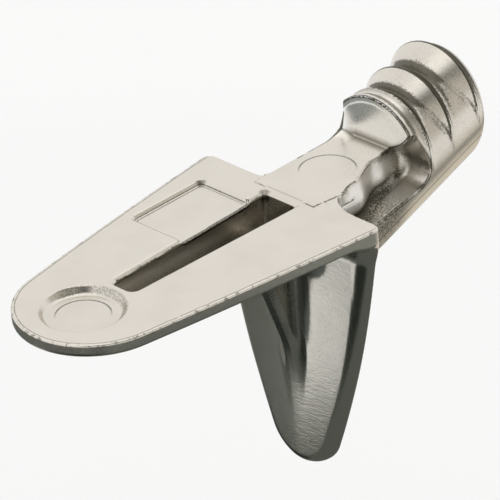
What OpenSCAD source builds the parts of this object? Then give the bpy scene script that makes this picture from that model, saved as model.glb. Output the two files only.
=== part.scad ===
// Shelf support pin, one zinc casting.
// The shelf rests on the plate, the tongue-shaped leg lies against the cabinet side, and the
// ribbed plug goes into a 5 mm hole in the series drilling.
//
// +X runs along the wall, +Y into the wall and +Z up. The origin is the middle of the corner
// where the plate's top meets the back of the leg.

/* [Shelf plate] */
// Width of the plate at the wall
plate_w = 10; // [9:0.1:12.5]
// Length of the plate from the wall to the tip of its nose
plate_l = 14.6; // [12.5:0.1:19]
// Thickness of the plate
plate_t = 0.56; // [0.5:0.05:1]
// Radius of the plate's nose
nose_r = 3.35; // [2.6:0.05:3.8]
// Radius of the slightly bowed sides of the plate
plate_bow_r = 260; // [150:10:500]
// Rounding of the plate's top and bottom edges
plate_edge_r = 0.12; // [0.05:0.01:0.2]
// Rounding of the plate's corners at the wall, seen from above
plate_corner_r = 0.35; // [0.2:0.05:0.5]

/* [Nose recess] */
// Radius of the round recess in the nose
dimple_r = 1.75; // [1.2:0.05:2.1]
// Distance from the tip of the nose to the middle of the round recess
dimple_inset = 2.64; // [2.4:0.02:3]
// Depth of the round recess
dimple_depth = 0.16; // [0.1:0.01:0.3]
// Width of the bevel round the recess
dimple_bevel = 0.14; // [0.05:0.01:0.3]

/* [Slot] */
// Distance from the tip of the nose to the front end of the slot
slot_inset = 4.65; // [4.5:0.05:7]
// Distance from the wall to the back end of the slot
slot_back = 0.61; // [0.5:0.01:1.2]
// Width of the slot's mouth at its front end
slot_front_w = 1.45; // [1.2:0.05:1.8]
// Width of the slot's mouth at its back end
slot_back_w = 2.15; // [1.8:0.05:2.4]
// Depth of the slot at its front end
slot_front_depth = 1.3; // [0.8:0.05:1.4]
// Depth of the slot at its back end
slot_back_depth = 2.2; // [1.4:0.05:2.4]
// Width of the chamfer along the slot's sides
slot_chamfer = 0.15; // [0.05:0.01:0.2]
// Width of the chamfer across the slot's back end
slot_back_chamfer = 0.24; // [0.1:0.01:0.35]
// Depth of the slot's chamfers
slot_chamfer_depth = 0.3; // [0.1:0.01:0.4]

/* [Side recess] */
// Distance from the middle of the plate to the outer edge of the shallow recess beside the slot
recess_side = 3.7; // [2:0.05:3.9]
// Distance from the wall to the back edge of the shallow recess
recess_back = 1.7; // [1.2:0.05:2.4]
// Length of the shallow recess
recess_l = 4.2; // [2:0.05:5]
// Depth of the shallow recess
recess_depth = 0.18; // [0.1:0.01:0.25]

/* [Leg] */
// Width of the leg under the plate
leg_w = 9.6; // [8:0.1:12]
// Height of the leg from the plate's top to its tip
leg_h = 13; // [11:0.1:16]
// Thickness of the leg
leg_t = 0.62; // [0.5:0.02:1]
// Radius of the leg's tip
leg_tip_r = 1.95; // [1.6:0.05:2.4]
// Radius of the bowed sides of the leg
leg_bow_r = 60; // [45:5:200]
// Rounding of the leg's edges on the side away from the wall
leg_edge_r = 0.45; // [0.2:0.01:0.48]

/* [Rib] */
// Thickness of the rib between the plate and the leg
rib_t = 1; // [0.8:0.05:1.4]
// How far down the leg the rib reaches
rib_h = 9.7; // [7:0.1:10.5]
// Width of the trough that holds the slot
trough_w = 3; // [3:0.05:3.4]
// Thickness of the trough's floor
trough_floor_t = 0.5; // [0.4:0.05:0.8]

/* [Neck] */
// Distance from the middle to the left side of the neck
neck_left = 1.72; // [1.3:0.02:1.9]
// Distance from the middle to the right side of the neck near the wall
neck_right = 1.5; // [1.3:0.02:1.8]
// Distance from the middle to the right side of the neck near the plug
neck_waist = 0.85; // [0.6:0.02:1.2]
// Where the right side of the neck starts to step in, measured from the wall
neck_step = 2.6; // [2.2:0.05:3]
// Length of the step in the neck's right side
neck_step_l = 0.7; // [0.3:0.05:1]
// How far the neck's top stands above the plate
neck_rise = 0.08; // [0.04:0.01:0.2]
// Length of the neck from the wall to the plug's front face
neck_l = 4.8; // [4:0.05:6]
// Radius of the corner between the plate and the right side of the neck
neck_fillet_r = 1.9; // [0.6:0.05:2.2]
// Radius of the corner between the plate and the left side of the neck
neck_left_fillet_r = 0.4; // [0.2:0.05:0.8]
// Distance from the plate's top down to the flat underside of the plug's root
root_depth = 3.7; // [3:0.05:4.2]
// Depth of the relief in the leg's back, round the plug's root
relief_depth = 0.06; // [0.03:0.01:0.15]
// Width of the relief beside and below the plug's root
relief_w = 0.25; // [0.15:0.05:0.6]

/* [Plug] */
// Diameter of the plug, for a 5 mm hole
plug_d = 5; // [4.8:0.05:5.2]
// Upward tilt of the plug, in degrees
plug_tilt = 19; // [12:0.5:22]
// Length from the plug's front face to its end
plug_l = 4.35; // [4.2:0.05:6]
// Rounding of the plug's end
plug_end_r = 0.4; // [0.1:0.05:0.6]
// Number of ribs round the top of the plug
rib_count = 3; // [2:1:3]
// Distance from the plug's front face to the first crest
first_crest = 0.78; // [0.7:0.02:1]
// Distance between the first two crests
crest_pitch = 1.32; // [1.2:0.02:1.5]
// How much longer the next distance between crests is
crest_growth = 0.28; // [0:0.02:0.3]
// How far the crests stand above the plug's round bar
crest_rise = 0.38; // [0.2:0.02:0.5]
// Length of the steep slope behind a crest
crest_back_l = 0.34; // [0.2:0.02:0.5]
// Length of the collar between the plug's front face and its first rib
collar_l = 0.3; // [0.2:0.02:0.5]
// Radius of the rounded end of the pocket beside the neck
pocket_end_r = 0.85; // [0.5:0.05:1]
// Distance that the pocket beside the neck reaches under the collar
pocket_reach = 0.72; // [0.3:0.02:0.75]
// Distance from the plate's top down to the floor of the pocket at the plug
pocket_floor = 1.3; // [1:0.05:1.6]
// Slope of the pocket's floor, in degrees
pocket_slope = 10; // [0:1:15]
// Distance from the wall to the end of the flat on the neck's left side
flat_l = 4.45; // [3:0.05:4.5]

/* [Hidden] */

$fn = 96;
eps = 0.01;
reach = 20;

plug_r = plug_d / 2;
plug_end = neck_l + plug_l;
first_crest_y = neck_l + first_crest;
slot_front_y = -(plate_l - slot_inset);
slot_back_y = -slot_back;
trough_front_y = slot_front_y - trough_floor_t;
trough_back_z = -slot_back_depth - trough_floor_t;

// The rib's front edge: how far it stands off the leg at the top and at its toe.
rib_top_w = 3.4;
rib_toe_w = 0.16;
rib_toe_l = 1.2;

// The neck's flat runs on over the plate, nearly to the slot and a little further to the
// right. The neck goes on inside the plug, past the pocket's end.
pad_l = slot_back - 0.03;
pad_right = neck_right + 0.15;
neck_inside_l = 1;

// The plug's front face: its left edge, the round corner over the pocket, and how far the
// collar is smaller than the first crest.
face_left = 1.37;
face_round_r = 0.8 * plug_r;
face_round_x = 0.3;
collar_drop = 0.2;
buttress_r = 1.3;
pocket_lean = 12.7;
flat_end_r = 0.7;

// Height of the middle of the plug's bar at a distance y from the wall.
bar_ref_y = neck_l + 1.58;
bar_ref_z = -0.5;
function bar_z(y) = bar_ref_z + (y - bar_ref_y) * tan(plug_tilt);

// Half the height of the tilted bar in a vertical section, and the height of its top.
bar_half_h = plug_r / cos(plug_tilt);
function bar_top(y) = bar_z(y) + bar_half_h;

// Distance of crest i from the wall.
function crest_y(i) = first_crest_y + i * crest_pitch + i * (i - 1) / 2 * crest_growth;

// Middle of the big circle that a bowed side lies on: it passes through the corner (w / 2, 0)
// and touches the tip circle of radius r at (0, r - l) from outside it.
function bow_mid(w, l, r, bow) =
    let (
        corner = [w / 2, 0],
        tip = [0, r - l],
        gap = norm(corner - tip),
        along = (bow * bow - (bow - r) * (bow - r) + gap * gap) / (2 * gap),
        off = sqrt(bow * bow - along * along),
        u = (tip - corner) / gap
    )
    corner + along * u + off * [u[1], -u[0]];

// Side view of a disc of radius r and thickness t, with its two edges rounded.
module disc_profile(r, t, top, bottom) {
    square([r - bottom, t - top]);
    translate([0, bottom]) square([r - top, t - bottom]);
    translate([0, bottom]) square([r, t - top - bottom]);
    translate([r - top, t - top]) circle(top);
    if (bottom > 0)
        translate([r - bottom, bottom]) circle(bottom);
}

// A flat tongue from z = 0 to t: straight at y = 0, with bowed sides and a round tip at y = -l.
// Its edges are rounded, apart from the straight one. The round tip is a hair larger than a
// true tangent, so that the surfaces cross cleanly.
module tongue(w, l, r, bow, t, top, bottom) {
    tip = [0, r + eps - l];
    mid = bow_mid(w, l - eps, r, bow);
    side = (tip - mid) / norm(tip - mid) * w;
    translate(tip)
        rotate_extrude()
            disc_profile(r + eps, t, top, bottom);
    intersection() {
        translate(mid)
            rotate_extrude($fn = 360)
                disc_profile(bow, t, top, bottom);
        translate([-mid[0], mid[1]])
            rotate_extrude($fn = 360)
                disc_profile(bow, t, top, bottom);
        linear_extrude(t)
            polygon([tip, tip + side, [w, 0], [-w, 0], tip + [-side[0], side[1]]]);
    }
}

// Fills the corner at the origin, between the +x and +y axes, with a concave round of radius r.
module corner_fill(r) {
    difference() {
        translate([-eps, -eps]) square(r + eps);
        translate([r, r]) circle(r);
    }
}

// Stands a drawing of the (y, z) plane up and extrudes it from x0 to x1.
module across(x0, x1) {
    translate([x0, 0, 0])
        rotate([90, 0, 90])
            linear_extrude(x1 - x0)
                children();
}

// Turns a piece that is drawn along +Z to point into the wall, from y0 on, at height z.
module into_wall(y0, z) {
    translate([0, y0, z])
        rotate([-90, 0, 0])
            children();
}

// The flat tongue that the shelf rests on.
module plate() {
    difference() {
        translate([0, 0, -plate_t])
            tongue(plate_w, plate_l, nose_r, plate_bow_r, plate_t, plate_edge_r, plate_edge_r);
        for (side = [0, 1])
            mirror([side, 0, 0])
                translate([plate_w / 2, 0, -reach / 2])
                    linear_extrude(reach)
                        rotate([0, 0, 180])
                            corner_fill(plate_corner_r);
    }
}

// The round recess in the nose, with its bevel.
module dimple_cut() {
    translate([0, dimple_inset - plate_l, -dimple_depth]) {
        cylinder(h = dimple_depth, r1 = dimple_r - dimple_bevel, r2 = dimple_r);
        translate([0, 0, dimple_depth - eps / 10])
            cylinder(h = 1, r = dimple_r);
    }
}

// All that lies on the inner side of one sloping face of the slot's mouth. The face passes
// through the edge from point a to point b and leans in by width at the chamfer's depth.
module mouth_side(a, b, width) {
    run = b - a;
    above = 0.15;
    translate([a[0], a[1], 0])
        rotate([0, 0, atan2(run[1], run[0])])
            rotate([90, 0, 90])
                translate([0, 0, -reach / 2])
                    linear_extrude(reach + norm(run))
                        polygon([
                            [width, -slot_chamfer_depth],
                            [reach, -slot_chamfer_depth],
                            [reach, above],
                            [-width * above / slot_chamfer_depth, above],
                        ]);
}

// The slot: a trough that gets deeper towards the wall, and the chamfers round its mouth.
module slot_cut() {
    corners = [
        [-slot_front_w / 2, slot_front_y],
        [slot_front_w / 2, slot_front_y],
        [slot_back_w / 2, slot_back_y],
        [-slot_back_w / 2, slot_back_y],
    ];
    intersection() {
        translate([0, 0, -reach / 2])
            linear_extrude(reach)
                polygon([
                    corners[0] + [slot_chamfer, slot_chamfer],
                    corners[1] + [-slot_chamfer, slot_chamfer],
                    corners[2] + [-slot_chamfer, -slot_back_chamfer],
                    corners[3] + [slot_chamfer, -slot_back_chamfer],
                ]);
        across(-reach, reach)
            polygon([
                [slot_front_y, -slot_front_depth],
                [slot_back_y, -slot_back_depth],
                [slot_back_y, 1],
                [slot_front_y, 1],
            ]);
    }
    intersection() {
        mouth_side(corners[0], corners[1], slot_chamfer);
        mouth_side(corners[1], corners[2], slot_chamfer);
        mouth_side(corners[2], corners[3], slot_back_chamfer);
        mouth_side(corners[3], corners[0], slot_chamfer);
    }
}

// The shallow recess beside the slot, open to the slot.
module recess_cut() {
    translate([-recess_side, -recess_back - recess_l, -recess_depth])
        cube([recess_side, recess_l, recess_depth + 1]);
}

// The shallow relief in the leg's back, round the plug's root and under the plate. The raised
// edge of a drilled hole lies in it, so the leg still lies flat.
module root_relief() {
    bottom = root_depth + relief_w;
    translate([-plug_r - relief_w, -relief_depth, -bottom])
        cube([plug_d + 2 * relief_w, 1, bottom - plate_t / 2]);
}

// The tongue that lies against the cabinet side.
module leg() {
    difference() {
        rotate([90, 0, 0])
            tongue(leg_w, leg_h, leg_tip_r, leg_bow_r, leg_t, leg_edge_r, 0);
        root_relief();
    }
}

// The walls of the trough under the plate, round the slot.
module trough() {
    across(-trough_w / 2, trough_w / 2)
        polygon([
            [-leg_t / 2, -plate_t / 2],
            [-leg_t / 2, trough_back_z],
            [trough_front_y, -slot_front_depth - trough_floor_t],
            [trough_front_y, -plate_t / 2],
        ]);
}

// The thin rib between the trough and the leg: a straight edge that runs out low on the leg.
module rib() {
    across(-rib_t / 2, rib_t / 2)
        polygon([
            [-leg_t / 2, trough_back_z / 2],
            [-leg_t / 2, -rib_h],
            [-leg_t, -rib_h],
            [-leg_t - rib_toe_w, rib_toe_l - rib_h],
            [-leg_t - rib_top_w, trough_back_z / 2],
        ]);
}

// Outline of the neck from above. Its left side is straight, and its right side steps in.
module neck_outline() {
    polygon([
        [-neck_left, -pad_l],
        [pad_right, -pad_l],
        [pad_right, neck_fillet_r / 2],
        [neck_right, neck_fillet_r],
        [neck_right, neck_step],
        [neck_waist, neck_step + neck_step_l],
        [neck_waist, neck_l + neck_inside_l],
        [-neck_left, neck_l + neck_inside_l],
    ]);
}

// Outline of the round corners where the neck grows out of the plate.
module neck_corners() {
    translate([neck_right, 0]) corner_fill(neck_fillet_r);
    translate([-neck_left, 0])
        mirror([1, 0])
            corner_fill(neck_left_fillet_r);
}

// The neck between the plate and the plug, with the flat that runs on to the plate.
module neck() {
    translate([0, 0, -root_depth / 2])
        linear_extrude(root_depth / 2 + neck_rise)
            neck_outline();
    translate([0, 0, -plate_t])
        linear_extrude(plate_t)
            neck_corners();
}

// The plug's tilted round bar, flat underneath where it meets the leg, with a rounded end.
module bar() {
    round_y = plug_end - plug_end_r;
    intersection() {
        translate([0, bar_ref_y, bar_ref_z])
            rotate([plug_tilt - 90, 0, 0])
                translate([0, 0, -reach])
                    cylinder(h = 2 * reach, r = plug_r);
        union() {
            translate([-reach / 2, -leg_t / 2, -root_depth])
                cube([reach, round_y + leg_t / 2, 2 * reach]);
            into_wall(round_y - eps, bar_z(round_y))
                rotate_extrude()
                    disc_profile(bar_half_h + 2 * eps, plug_end_r + eps, plug_end_r, 0);
        }
    }
}

// One rib round the top of the plug: a ramp up to the crest and a steep slope behind it.
module crest(i) {
    y = crest_y(i);
    back_y = y + crest_back_l;
    foot_y = i == 0 ? neck_l + collar_l : crest_y(i - 1) + crest_back_l;
    mid_z = bar_top(y) + crest_rise - plug_r;
    foot_r = i == 0 ? plug_r - collar_drop : bar_top(foot_y) - mid_z;
    into_wall(foot_y, mid_z)
        cylinder(h = y - foot_y + eps / 10, r1 = foot_r, r2 = plug_r);
    into_wall(y, mid_z)
        cylinder(h = crest_back_l, r1 = plug_r, r2 = bar_top(back_y) - mid_z);
}

// The collar between the plug's front face and its first rib.
module collar() {
    into_wall(neck_l, bar_top(first_crest_y) + crest_rise - plug_r)
        cylinder(h = collar_l + eps, r = plug_r - collar_drop / 3);
}

// What is cut away above the neck, in front of the plug's flat face. On the left a concave
// round stays, from the neck's top up to the collar.
module neck_top_cut() {
    difference() {
        translate([-reach / 2, -pad_l - eps, neck_rise])
            cube([reach, neck_l + pad_l + eps, reach]);
        across(-reach, -face_left)
            translate([neck_l, neck_rise])
                mirror([1, 0])
                    corner_fill(buttress_r);
    }
}

// Side view of a pocket beside the neck: a sloping floor and a rounded end under the collar.
module pocket_side() {
    mid = [neck_l + pocket_reach - pocket_end_r, pocket_end_r - pocket_floor];
    down = mid + (pocket_end_r - eps) * [sin(pocket_slope), -cos(pocket_slope)];
    up = mid + (pocket_end_r - eps) * [cos(pocket_lean), sin(pocket_lean)];
    polygon([
        mid,
        down,
        down - reach * [cos(pocket_slope), sin(pocket_slope)],
        [-reach, reach],
        up + reach * [-sin(pocket_lean), cos(pocket_lean)],
        up,
    ]);
    translate(mid) circle(pocket_end_r);
}

// The pocket to the right of the neck. The plug's face keeps a round lower corner over it.
module right_pocket() {
    difference() {
        intersection() {
            across(0, reach) pocket_side();
            translate([0, 0, -reach / 2])
                linear_extrude(reach)
                    difference() {
                        square(reach);
                        neck_outline();
                        neck_corners();
                    }
        }
        into_wall(neck_l, neck_rise + face_round_r)
            translate([face_round_x, 0, 0])
                cylinder(h = reach, r = face_round_r);
        translate([-reach / 2, neck_l, plug_r - collar_drop])
            cube(reach);
    }
}

// The flat on the neck's left side, which ends in a round corner.
module left_flat() {
    intersection() {
        across(-reach, 0) pocket_side();
        translate([0, 0, -reach / 2])
            linear_extrude(reach)
                difference() {
                    translate([-reach, -leg_t / 2])
                        square([reach, leg_t / 2 + flat_l + flat_end_r]);
                    neck_outline();
                    neck_corners();
                    translate([-neck_left - neck_left_fillet_r, -leg_t])
                        square([reach, leg_t]);
                    translate([-neck_left, flat_l + flat_end_r])
                        rotate([0, 0, 180])
                            corner_fill(flat_end_r);
                }
    }
}

// The whole plug with its neck.
module plug() {
    difference() {
        union() {
            bar();
            collar();
            neck();
            for (i = [0 : rib_count - 1]) crest(i);
        }
        neck_top_cut();
        right_pocket();
        left_flat();
    }
}

module shelf_support() {
    color([0.80, 0.78, 0.74])
        difference() {
            union() {
                plate();
                leg();
                trough();
                rib();
                plug();
            }
            dimple_cut();
            slot_cut();
            recess_cut();
        }
}

shelf_support();
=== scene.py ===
"""A shelf support pin, cast in zinc in one piece and nickel plated.

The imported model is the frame. This script puts one finer casting in its place: a distance
field gives the rounded edges, root fillets and tool marks of the real casting, and a mesher
turns that field into a surface. Lengths in the classes are millimetres, and the axes are the
frame's: +X along the cabinet side, +Y into it and +Z up, with the plate's top at z = 0.
"""
import logging
import math
from dataclasses import dataclass
from enum import Enum
from typing import Any, Callable, Sequence, Union

import bpy
import numpy as np
from mathutils import Matrix, Vector


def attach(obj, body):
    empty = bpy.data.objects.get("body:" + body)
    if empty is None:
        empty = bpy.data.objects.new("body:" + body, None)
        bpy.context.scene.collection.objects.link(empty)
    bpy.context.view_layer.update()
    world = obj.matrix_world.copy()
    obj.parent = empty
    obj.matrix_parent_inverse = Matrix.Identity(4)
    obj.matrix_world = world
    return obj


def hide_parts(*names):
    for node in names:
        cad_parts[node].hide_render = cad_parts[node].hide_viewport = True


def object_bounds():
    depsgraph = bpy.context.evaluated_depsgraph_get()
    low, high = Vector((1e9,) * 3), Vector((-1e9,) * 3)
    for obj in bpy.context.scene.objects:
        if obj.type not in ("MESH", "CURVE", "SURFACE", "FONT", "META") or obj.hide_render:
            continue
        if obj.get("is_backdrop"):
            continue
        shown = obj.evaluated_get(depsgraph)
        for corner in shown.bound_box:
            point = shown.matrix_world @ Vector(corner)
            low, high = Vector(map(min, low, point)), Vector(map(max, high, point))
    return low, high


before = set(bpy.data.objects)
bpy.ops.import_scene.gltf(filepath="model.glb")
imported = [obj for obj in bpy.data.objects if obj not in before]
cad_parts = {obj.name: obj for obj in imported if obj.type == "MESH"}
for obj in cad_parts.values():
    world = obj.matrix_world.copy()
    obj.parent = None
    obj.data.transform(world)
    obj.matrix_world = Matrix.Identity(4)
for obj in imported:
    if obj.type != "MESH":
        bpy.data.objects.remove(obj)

MM = 0.001
Array = np.ndarray
Field = Callable[[Array, Array, Array], Array]
Span = tuple[float, float]

# How far a shape runs into its neighbour where the two are one body, in millimetres.
OVERLAP = 0.3

logging.basicConfig(level=logging.INFO, format="%(name)s: %(message)s")
log = logging.getLogger("shelf_support")


# ---- distance fields


def meet(a: Array, b: Array, r: Union[float, Array]) -> Array:
    """Keeps what is inside both shapes, with their common edge rounded.

    Args:
        a: Distances to the first shape, negative inside.
        b: Distances to the second shape.
        r: Radius of the rounded edge.

    Returns:
        Distances to the common part.
    """
    u = np.maximum(a + r, 0.0)
    v = np.maximum(b + r, 0.0)
    return np.minimum(-r, np.maximum(a, b)) + np.hypot(u, v)


def join(a: Array, b: Array, r: Union[float, Array]) -> Array:
    """Adds two shapes, with a fillet of radius r where they cross: meet turned inside out."""
    return -meet(-a, -b, r)


def cut(a: Array, tool: Array, r: float) -> Array:
    """Takes tool away from shape a, with the edge of the cut rounded by r."""
    return meet(a, -tool, r)


def blend(low: float, high: float, t: Array) -> Array:
    """A smooth step from 0 at low to 1 at high."""
    s = np.clip((t - low) / (high - low), 0.0, 1.0)
    return s * s * (3.0 - 2.0 * s)


def soft_max(a: Array, width: float) -> Array:
    """The larger of a and 0, with a soft bend of that width."""
    return 0.5 * (a + np.sqrt(a * a + width * width))


def bevel(plan: Array, z: Array, width: float, depth: float) -> Array:
    """A wall that leans out by width, from depth up to z = 0, over an outline in plan."""
    return (plan * depth - z * width) / math.hypot(width, depth)


@dataclass(frozen=True)
class Tongue:
    """The outline of the plate and of the leg: bowed sides and a round tip.

    Attributes:
        width: Width at the straight end.
        length: Length from the straight end to the tip.
        tip_r: Radius of the tip.
        bow_r: Radius of the bowed sides.
    """

    width: float
    length: float
    tip_r: float
    bow_r: float

    def bow_centre(self) -> tuple[float, float]:
        """Middle of the big circle that the right side lies on."""
        corner = np.array([self.width / 2, 0.0])
        tip = np.array([0.0, self.tip_r - self.length])
        gap = float(np.hypot(*(tip - corner)))
        short = self.bow_r - self.tip_r
        along = (self.bow_r**2 - short**2 + gap**2) / (2 * gap)
        off = math.sqrt(self.bow_r**2 - along**2)
        u = (tip - corner) / gap
        centre = corner + along * u + off * np.array([u[1], -u[0]])
        return float(centre[0]), float(centre[1])

    def distance(self, across: Array, along: Array) -> Array:
        """Distances in the tongue's own plane; along is 0 at the straight end.

        Args:
            across: Places across the tongue.
            along: Places along it, negative towards the tip.

        Returns:
            Distances to the outline, without the straight end.
        """
        cx, cy = self.bow_centre()
        q = np.abs(across)
        ty = self.tip_r - self.length
        sx, sy = -cx, ty - cy
        side = np.hypot(q - cx, along - cy) - self.bow_r
        tip = np.hypot(q, along - ty) - self.tip_r
        return np.where(sx * (along - ty) - sy * q > 0.0, side, tip)


# ---- sub-assemblies


@dataclass
class Plate:
    """The flat tongue that the shelf rests on, with its slot and its two recesses.

    Attributes:
        length: Length from the wall to the tip of the nose, from the frame.
        half_w: Half the width at the wall, from the frame.
        corner_z: Heights between which the back corners' rounding grows.
        slot_w, slot_r, slot_depth: The slot's width, corners and depth, front and back.
    """

    length: float
    half_w: float
    thick: float = 0.56
    nose_r: float = 3.35
    bow_r: float = 260.0
    top_edge_r: float = 0.07
    low_edge_r: float = 0.14
    wall_edge_r: float = 0.07
    corner_r: float = 0.45
    corner_z: Span = (-6.0, -0.3)
    dimple_r: float = 1.78
    dimple_inset: float = 2.64
    dimple_depth: float = 0.3
    dimple_bevel: float = 0.24
    dimple_foot_r: float = 0.08
    slot_front: float = 9.95
    slot_back: float = 0.61
    slot_w: Span = (1.5, 2.15)
    slot_r: Span = (0.42, 0.16)
    slot_depth: Span = (1.3, 2.2)
    slot_foot_r: float = 0.3
    chamfer: float = 0.2
    back_chamfer: float = 0.26
    chamfer_depth: float = 0.2
    chamfer_foot_r: float = 0.02
    recess_left: float = 3.72
    recess_front: float = 5.87
    recess_back: float = 1.7
    recess_depth: float = 0.2
    recess_bevel: float = 0.16
    recess_corner_r: float = 0.3
    recess_foot_r: float = 0.05

    @property
    def outline(self) -> Tongue:
        """The plate's outline."""
        return Tongue(2 * self.half_w, self.length, self.nose_r, self.bow_r)

    def trim(self, x: Array, y: Array, z: Array) -> Array:
        """Distances to all that lies within the plate's outline and in front of the wall."""
        gain = (self.corner_r - self.wall_edge_r) * blend(*self.corner_z, z)
        return meet(self.outline.distance(x, y), y, self.wall_edge_r + gain)

    def dimple(self, x: Array, y: Array, z: Array) -> Array:
        """Distances to the round recess in the nose, with its bevelled wall."""
        rho = np.hypot(x, y + self.length - self.dimple_inset)
        wall = bevel(rho - self.dimple_r, z, self.dimple_bevel, self.dimple_depth)
        return meet(wall, -self.dimple_depth - z, self.dimple_foot_r)

    def slot_sides(self, x: Array, y: Array, inset: float, back_inset: float) -> Array:
        """Distances in plan to the slot's mouth, drawn smaller by the insets."""
        narrow, wide = self.slot_w
        lean = (wide - narrow) / 2 / (self.slot_front - self.slot_back)
        half = wide / 2 + (y + self.slot_back) * lean
        side = (np.abs(x) - half) / math.hypot(1.0, lean) + inset
        front = -self.slot_front - y + inset
        back = y + self.slot_back + back_inset
        return meet(meet(side, front, self.slot_r[0] - inset), back, self.slot_r[1])

    def slot(self, x: Array, y: Array, z: Array) -> Array:
        """Distances to the slot: straight walls, a sloping floor and a chamfered mouth."""
        shallow, deep = self.slot_depth
        fall = (deep - shallow) / (self.slot_front - self.slot_back)
        floor = deep + (y + self.slot_back) * fall
        inner = self.slot_sides(x, y, self.chamfer, self.back_chamfer)
        well = meet(inner, -floor - z, self.slot_foot_r)
        depth = self.chamfer_depth
        mouth = bevel(self.slot_sides(x, y, 0.0, 0.0), z, self.chamfer, depth)
        back = bevel(y + self.slot_back, z, self.back_chamfer, depth)
        mouth = meet(meet(mouth, back, self.slot_r[1]), -depth - z, self.chamfer_foot_r)
        return np.minimum(well, mouth)

    def recess(self, x: Array, y: Array, z: Array) -> Array:
        """Distances to the bare, shallow recess beside the slot, with bevelled walls."""
        left = -x - self.recess_left
        back = y + self.recess_back
        front = -self.recess_front - y
        r = self.recess_corner_r
        plan = meet(meet(left, back, r), front, r)
        wall = bevel(plan, z, self.recess_bevel, self.recess_depth)
        return meet(np.maximum(wall, x), -self.recess_depth - z, self.recess_foot_r)

    def tools(self, x: Array, y: Array, z: Array) -> Array:
        """Distances to all that is cut into the plate's top."""
        d = np.minimum(self.slot(x, y, z), self.recess(x, y, z))
        return np.minimum(d, self.dimple(x, y, z))


@dataclass
class Leg:
    """The tongue against the cabinet side, with the trough and the thin rib in front of it.

    Attributes:
        length: Height from the plate's top to the tip, from the frame.
        edge_gain: How much the front edges' rounding grows between the heights edge_z.
        root_r, root_share: The round under the plate, and the part of its radius used.
        rib_toe_z: Height at which the rib runs out into the leg.
        rib_end: How far above the leg's tip the rib is cut off.
    """

    length: float
    width: float = 9.88
    tip_r: float = 1.95
    bow_r: float = 60.0
    thick: float = 0.55
    ridge: float = 0.16
    ridge_slope: float = 0.07
    ridge_bend: float = 0.35
    ridge_low: float = -0.06
    front_edge_r: float = 0.52
    edge_gain: float = 0.4
    edge_z: Span = (-9.0, -1.0)
    back_edge_r: float = 0.07
    root_r: float = 1.5
    root_top: float = 0.56
    root_share: float = 0.93
    rib_t: float = 0.9
    rib_slope: float = 0.37
    rib_toe_z: float = -8.85
    rib_stand: float = 0.25
    rib_bend: float = 0.5
    rib_edge_r: float = 0.3
    rib_end: float = 0.6
    trough_w: float = 3.0
    trough_front: float = 10.35
    trough_back: float = 0.6
    trough_z: float = -2.75
    trough_slope: float = 0.09
    trough_edge_r: float = 0.3
    trough_end_r: float = 0.5

    def face(self, x: Array, z: Array) -> Array:
        """How far the front stands off the wall: a low ridge, and a round under the plate."""
        bend = self.ridge_bend
        fall = self.ridge_slope * (np.sqrt(x * x + bend * bend) - bend)
        up = np.clip(z + self.root_top + self.root_r, 0.0, self.root_share * self.root_r)
        root = self.root_r - np.sqrt(self.root_r**2 - up * up)
        return self.thick + np.maximum(self.ridge - fall, self.ridge_low) + root

    def body(self, x: Array, y: Array, z: Array) -> Array:
        """Distances to the leg's sides and front; its top and back are cut later."""
        outline = Tongue(self.width, self.length, self.tip_r, self.bow_r)
        edge_r = self.front_edge_r + self.edge_gain * blend(*self.edge_z, z)
        return meet(outline.distance(x, z), -y - self.face(x, z), edge_r)

    def rib(self, x: Array, y: Array, z: Array) -> Array:
        """Distances to the rib, whose front edge runs out in a curve low on the leg."""
        rise = soft_max(self.rib_slope * (z - self.rib_toe_z), self.rib_bend)
        front = (-y - self.rib_stand - rise) / math.hypot(1.0, self.rib_slope)
        d = meet(np.abs(x) - self.rib_t / 2, front, self.rib_edge_r)
        return np.maximum(d, self.rib_end - self.length - z)

    def trough(self, x: Array, y: Array, z: Array) -> Array:
        """Distances to the walls round the slot, under the plate."""
        low = self.trough_z - self.trough_slope * (y + self.trough_back)
        d = meet(np.abs(x) - self.trough_w / 2, low - z, self.trough_edge_r)
        return meet(d, -y - self.trough_front, self.trough_end_r)


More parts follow.
